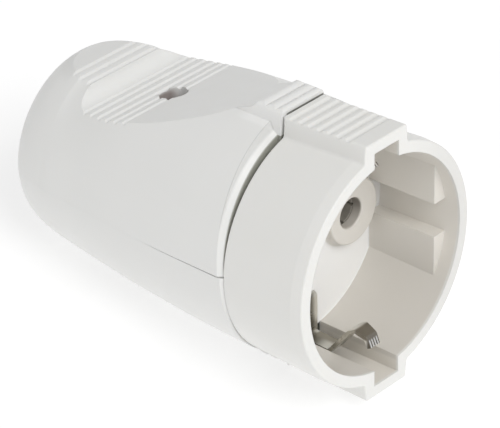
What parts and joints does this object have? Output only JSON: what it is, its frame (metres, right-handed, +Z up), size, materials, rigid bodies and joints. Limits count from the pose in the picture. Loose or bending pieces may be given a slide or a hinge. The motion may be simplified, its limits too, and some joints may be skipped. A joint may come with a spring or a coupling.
{
  "type": "cable coupler",
  "caption": "Rewireable cable coupler socket in off-white moulded plastic: round recessed mouth with side earth clips, two-part ribbed rear housing, ceramic contact base inside.",
  "frame": {"origin": "middle of the footprint, on the surface the coupler lies on", "axes": "+Z up; the coupler lies on its lower ridge and tail lip, its mouth facing -Y and raised by about 10 degrees, the cord entry towards +Y; X lateral"},
  "size_m": [0.044, 0.0764, 0.0517],
  "materials": {
    "white_plastic": "satin moulded thermoplastic, off-white",
    "white_plastic_front": "satin moulded thermoplastic, off-white",
    "ceramic": "unglazed steatite",
    "brass": "turned brass",
    "nickel": "nickel-plated spring strip, dull",
    "spring_steel": "spring steel",
    "zinc_steel": "zinc-plated steel",
    "clamp_plastic": "matt polyamide",
    "bush": "soft white grommet rubber"
  },
  "bodies": {
    "root": {"socket_front": "white_plastic_front", "upper_shell": "white_plastic", "lower_shell": "white_plastic", "contact_base": "ceramic", "contact_right": "brass", "contact_left": "brass", "contact_spring_right": "spring_steel", "contact_spring_left": "spring_steel", "earth_clip_top": "nickel", "earth_clip_bottom": "nickel", "earth_bar": "brass", "earth_rivets": "brass", "earth_terminal": "brass", "terminal_screws": "zinc_steel", "base_screws": "zinc_steel", "base_washers": "zinc_steel", "housing_screw": "zinc_steel", "housing_nut": "zinc_steel", "cord_clamp": "clamp_plastic", "clamp_screws": "zinc_steel", "cord_bush": "bush"}
  },
  "joints": []
}
